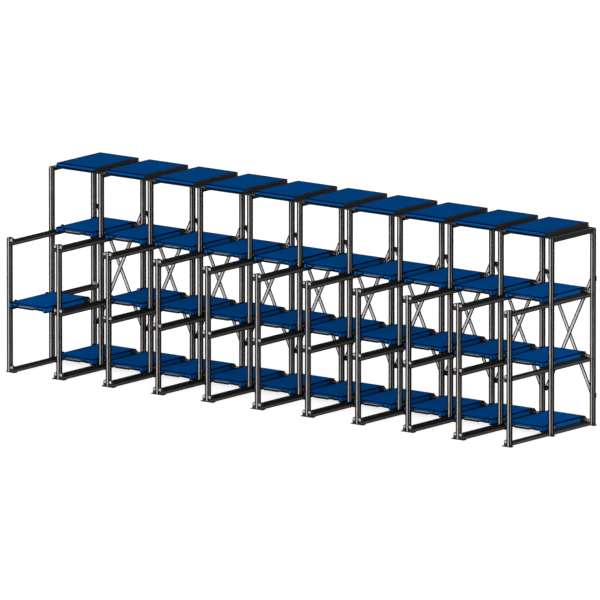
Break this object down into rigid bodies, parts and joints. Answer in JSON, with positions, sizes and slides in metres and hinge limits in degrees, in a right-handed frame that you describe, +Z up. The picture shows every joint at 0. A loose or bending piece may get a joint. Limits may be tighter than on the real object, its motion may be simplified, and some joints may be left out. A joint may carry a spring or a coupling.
{
  "type": "mold storage rack",
  "caption": "Long free-standing steel rack for moulds, with rows of blue trays that pull out on roller rails, fixed blue top shelves and crossed braces behind.",
  "frame": {"origin": "underside of the foot plate of the middle post in the centre frame", "axes": "+X along the rack, +Y from the loading side to the braced back, +Z up"},
  "size_m": [6.372, 1.569, 2.053],
  "materials": {
    "post_grey": "satin warm grey",
    "rail_grey": "satin grey",
    "roller_black": "matte black",
    "stop_grey": "plain",
    "cap_black": "matte black",
    "frame_black": "satin black",
    "bolt_steel": "dark zinc",
    "shelf_blue": "satin blue",
    "tray_blue": "satin blue",
    "brace_grey": "satin light grey"
  },
  "bodies": {
    "rack_frame": {"front_posts": "post_grey", "middle_posts": "post_grey", "rear_posts": "post_grey", "lower_rails": "rail_grey", "middle_rails": "rail_grey", "upper_rails": "rail_grey", "lower_roller_strips": "roller_black", "middle_roller_strips": "roller_black", "upper_roller_strips": "roller_black", "front_rail_stops": "stop_grey", "rear_rail_stops": "stop_grey", "front_post_caps": "cap_black", "front_foot_plates": "frame_black", "middle_foot_plates": "frame_black", "rear_foot_plates": "frame_black", "top_side_beams": "frame_black", "front_cross_bars": "frame_black", "rear_cross_bars": "frame_black", "shelf_edge_strips": "frame_black", "shelf_clips": "frame_black", "brace_plates": "frame_black", "rail_bolts": "bolt_steel", "brace_bolts": "bolt_steel", "top_shelves": "shelf_blue", "rising_braces": "brace_grey", "falling_braces": "brace_grey"},
    "tray_01_lower": {"tray_01_lower": "tray_blue"},
    "tray_01_middle": {"tray_01_middle": "tray_blue"},
    "tray_01_upper": {"tray_01_upper": "tray_blue"},
    "tray_02_lower": {"tray_02_lower": "tray_blue"},
    "tray_02_middle": {"tray_02_middle": "tray_blue"},
    "tray_02_upper": {"tray_02_upper": "tray_blue"},
    "tray_03_lower": {"tray_03_lower": "tray_blue"},
    "tray_03_middle": {"tray_03_middle": "tray_blue"},
    "tray_03_upper": {"tray_03_upper": "tray_blue"},
    "tray_04_lower": {"tray_04_lower": "tray_blue"},
    "tray_04_middle": {"tray_04_middle": "tray_blue"},
    "tray_04_upper": {"tray_04_upper": "tray_blue"},
    "tray_05_lower": {"tray_05_lower": "tray_blue"},
    "tray_05_middle": {"tray_05_middle": "tray_blue"},
    "tray_05_upper": {"tray_05_upper": "tray_blue"},
    "tray_06_lower": {"tray_06_lower": "tray_blue"},
    "tray_06_middle": {"tray_06_middle": "tray_blue"},
    "tray_06_upper": {"tray_06_upper": "tray_blue"},
    "tray_07_lower": {"tray_07_lower": "tray_blue"},
    "tray_07_middle": {"tray_07_middle": "tray_blue"},
    "tray_07_upper": {"tray_07_upper": "tray_blue"},
    "tray_08_lower": {"tray_08_lower": "tray_blue"},
    "tray_08_middle": {"tray_08_middle": "tray_blue"},
    "tray_08_upper": {"tray_08_upper": "tray_blue"},
    "tray_09_lower": {"tray_09_lower": "tray_blue"},
    "tray_09_middle": {"tray_09_middle": "tray_blue"},
    "tray_09_upper": {"tray_09_upper": "tray_blue"},
    "tray_10_lower": {"tray_10_lower": "tray_blue"},
    "tray_10_middle": {"tray_10_middle": "tray_blue"},
    "tray_10_upper": {"tray_10_upper": "tray_blue"}
  },
  "joints": [
    {"name": "tray_01_lower_slide", "type": "slide", "parent": "rack_frame", "child": "tray_01_lower", "axis": [0, -1, 0], "range_m": [0, 0.768]},
    {"name": "tray_01_middle_slide", "type": "slide", "parent": "rack_frame", "child": "tray_01_middle", "axis": [0, -1, 0], "range_m": [-0.768, 0]},
    {"name": "tray_01_upper_slide", "type": "slide", "parent": "rack_frame", "child": "tray_01_upper", "axis": [0, -1, 0], "range_m": [0, 0.768]},
    {"name": "tray_02_lower_slide", "type": "slide", "parent": "rack_frame", "child": "tray_02_lower", "axis": [0, -1, 0], "range_m": [0, 0.768]},
    {"name": "tray_02_middle_slide", "type": "slide", "parent": "rack_frame", "child": "tray_02_middle", "axis": [0, -1, 0], "range_m": [0, 0.768]},
    {"name": "tray_02_upper_slide", "type": "slide", "parent": "rack_frame", "child": "tray_02_upper", "axis": [0, -1, 0], "range_m": [0, 0.768]},
    {"name": "tray_03_lower_slide", "type": "slide", "parent": "rack_frame", "child": "tray_03_lower", "axis": [0, -1, 0], "range_m": [0, 0.768]},
    {"name": "tray_03_middle_slide", "type": "slide", "parent": "rack_frame", "child": "tray_03_middle", "axis": [0, -1, 0], "range_m": [0, 0.768]},
    {"name": "tray_03_upper_slide", "type": "slide", "parent": "rack_frame", "child": "tray_03_upper", "axis": [0, -1, 0], "range_m": [0, 0.768]},
    {"name": "tray_04_lower_slide", "type": "slide", "parent": "rack_frame", "child": "tray_04_lower", "axis": [0, -1, 0], "range_m": [0, 0.768]},
    {"name": "tray_04_middle_slide", "type": "slide", "parent": "rack_frame", "child": "tray_04_middle", "axis": [0, -1, 0], "range_m": [0, 0.768]},
    {"name": "tray_04_upper_slide", "type": "slide", "parent": "rack_frame", "child": "tray_04_upper", "axis": [0, -1, 0], "range_m": [0, 0.768]},
    {"name": "tray_05_lower_slide", "type": "slide", "parent": "rack_frame", "child": "tray_05_lower", "axis": [0, -1, 0], "range_m": [0, 0.768]},
    {"name": "tray_05_middle_slide", "type": "slide", "parent": "rack_frame", "child": "tray_05_middle", "axis": [0, -1, 0], "range_m": [0, 0.768]},
    {"name": "tray_05_upper_slide", "type": "slide", "parent": "rack_frame", "child": "tray_05_upper", "axis": [0, -1, 0], "range_m": [0, 0.768]},
    {"name": "tray_06_lower_slide", "type": "slide", "parent": "rack_frame", "child": "tray_06_lower", "axis": [0, -1, 0], "range_m": [0, 0.768]},
    {"name": "tray_06_middle_slide", "type": "slide", "parent": "rack_frame", "child": "tray_06_middle", "axis": [0, -1, 0], "range_m": [0, 0.768]},
    {"name": "tray_06_upper_slide", "type": "slide", "parent": "rack_frame", "child": "tray_06_upper", "axis": [0, -1, 0], "range_m": [0, 0.768]},
    {"name": "tray_07_lower_slide", "type": "slide", "parent": "rack_frame", "child": "tray_07_lower", "axis": [0, -1, 0], "range_m": [0, 0.768]},
    {"name": "tray_07_middle_slide", "type": "slide", "parent": "rack_frame", "child": "tray_07_middle", "axis": [0, -1, 0], "range_m": [0, 0.768]},
    {"name": "tray_07_upper_slide", "type": "slide", "parent": "rack_frame", "child": "tray_07_upper", "axis": [0, -1, 0], "range_m": [0, 0.768]},
    {"name": "tray_08_lower_slide", "type": "slide", "parent": "rack_frame", "child": "tray_08_lower", "axis": [0, -1, 0], "range_m": [0, 0.768]},
    {"name": "tray_08_middle_slide", "type": "slide", "parent": "rack_frame", "child": "tray_08_middle", "axis": [0, -1, 0], "range_m": [0, 0.768]},
    {"name": "tray_08_upper_slide", "type": "slide", "parent": "rack_frame", "child": "tray_08_upper", "axis": [0, -1, 0], "range_m": [0, 0.768]},
    {"name": "tray_09_lower_slide", "type": "slide", "parent": "rack_frame", "child": "tray_09_lower", "axis": [0, -1, 0], "range_m": [0, 0.768]},
    {"name": "tray_09_middle_slide", "type": "slide", "parent": "rack_frame", "child": "tray_09_middle", "axis": [0, -1, 0], "range_m": [0, 0.768]},
    {"name": "tray_09_upper_slide", "type": "slide", "parent": "rack_frame", "child": "tray_09_upper", "axis": [0, -1, 0], "range_m": [0, 0.768]},
    {"name": "tray_10_lower_slide", "type": "slide", "parent": "rack_frame", "child": "tray_10_lower", "axis": [0, -1, 0], "range_m": [0, 0.768]},
    {"name": "tray_10_middle_slide", "type": "slide", "parent": "rack_frame", "child": "tray_10_middle", "axis": [0, -1, 0], "range_m": [0, 0.768]},
    {"name": "tray_10_upper_slide", "type": "slide", "parent": "rack_frame", "child": "tray_10_upper", "axis": [0, -1, 0], "range_m": [0, 0.768]}
  ]
}
